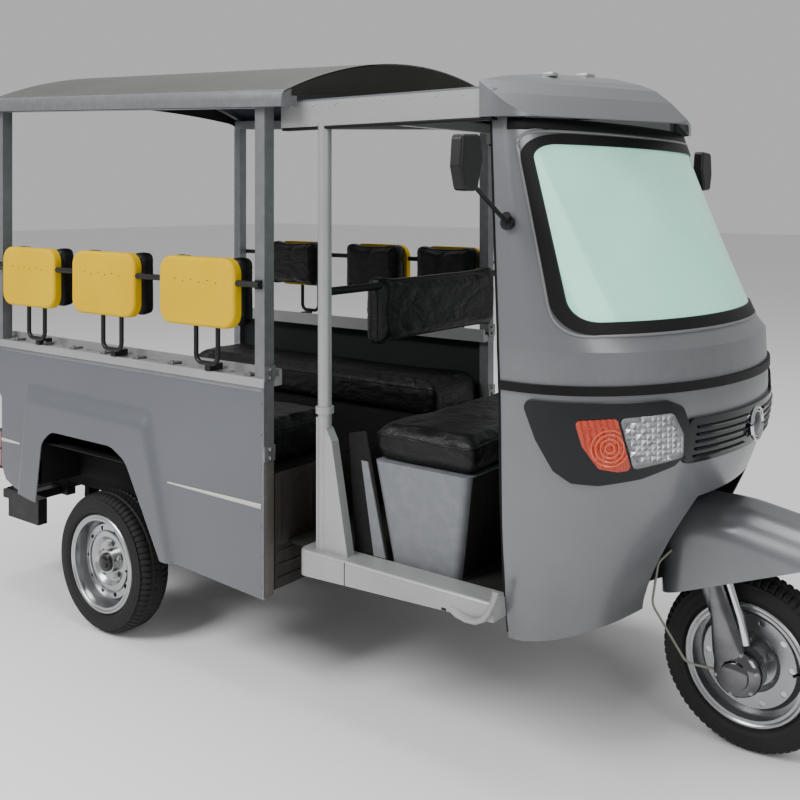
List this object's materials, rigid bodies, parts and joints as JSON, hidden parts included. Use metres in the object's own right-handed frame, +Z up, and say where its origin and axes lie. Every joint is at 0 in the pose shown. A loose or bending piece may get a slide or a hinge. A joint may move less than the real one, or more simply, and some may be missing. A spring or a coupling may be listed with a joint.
{
  "type": "electric rickshaw",
  "caption": "Three-wheeled electric passenger rickshaw with an arched roof, open sides, facing benches and a glazed driver's cab.",
  "frame": {"origin": "middle of the overall length and width, on the ground", "axes": "+X forward along the vehicle's length, +Y to its left, +Z up"},
  "size_m": [3.156, 1.6936, 2.0997],
  "materials": {
    "body_grey": "satin",
    "tub_grey": "satin",
    "pale_grey": "satin",
    "post_grey": "satin",
    "chassis_black": "matte",
    "black_paint": "satin",
    "vinyl": "satin",
    "yellow": "glossy",
    "red_lens": "glossy",
    "amber_lens": "glossy",
    "clear_lens": "glossy",
    "glass": "glossy",
    "rubber_mat": "matte",
    "rubber": "satin",
    "gloss_black": "glossy",
    "mirror_black": "satin",
    "box_grey": "satin",
    "dash_black": "matte",
    "fork_steel": "satin",
    "cable_grey": "satin",
    "tyre": "matte",
    "rim_steel": "satin"
  },
  "bodies": {
    "chassis": {"chassis_frame": "chassis_black", "rear_axle": "chassis_black", "leaf_springs": "chassis_black", "tub_floor": "chassis_black", "tub_side_right": "tub_grey", "tub_side_left": "tub_grey", "top_ledges": "pale_grey", "roof_frame": "post_grey", "rear_roof": "body_grey", "bench_bases": "chassis_black", "bench_cushions": "vinyl", "backrest_pads": "vinyl", "backrest_shells": "yellow", "backrest_bars": "black_paint", "rear_step": "black_paint", "tail_lamps": "red_lens", "cab_floor": "rubber_mat", "sill_boards": "pale_grey", "b_posts": "pale_grey", "cab_roof": "body_grey", "cab_upper": "body_grey", "cab_lower": "body_grey", "waist_moulding": "rubber", "windscreen_gasket": "rubber", "windscreen": "glass", "lamp_surrounds": "gloss_black", "headlamps": "clear_lens", "indicators": "amber_lens", "nose_grille": "gloss_black", "mirrors": "mirror_black", "seat_box": "box_grey", "driver_cushion": "vinyl", "driver_backrest": "vinyl", "dashboard": "dash_black", "front_wheel_well": "chassis_black"},
    "steering": {"fork": "fork_steel", "front_fender": "body_grey", "handlebar": "black_paint", "front_brake_cable": "cable_grey"},
    "front_wheel": {"front_tyre": "tyre", "front_rim": "rim_steel"},
    "rear_wheel_right": {"rear_tyre_right": "tyre", "rear_rim_right": "rim_steel"},
    "rear_wheel_left": {"rear_tyre_left": "tyre", "rear_rim_left": "rim_steel"}
  },
  "joints": [
    {"name": "steering_hinge", "type": "hinge", "parent": "chassis", "child": "steering", "pos_m": [1.072, 0, 0.75], "axis": [-0.3746, 0, 0.9272], "range_deg": [-35, 35]},
    {"name": "front_wheel_spin", "type": "hinge", "parent": "steering", "child": "front_wheel", "pos_m": [1.292, 0, 0.25], "axis": [0, 1, 0], "continuous": true},
    {"name": "rear_wheel_right_spin", "type": "hinge", "parent": "chassis", "child": "rear_wheel_right", "pos_m": [-0.813, -0.617, 0.25], "axis": [0, 1, 0], "continuous": true},
    {"name": "rear_wheel_left_spin", "type": "hinge", "parent": "chassis", "child": "rear_wheel_left", "pos_m": [-0.813, 0.617, 0.25], "axis": [0, 1, 0], "continuous": true}
  ]
}
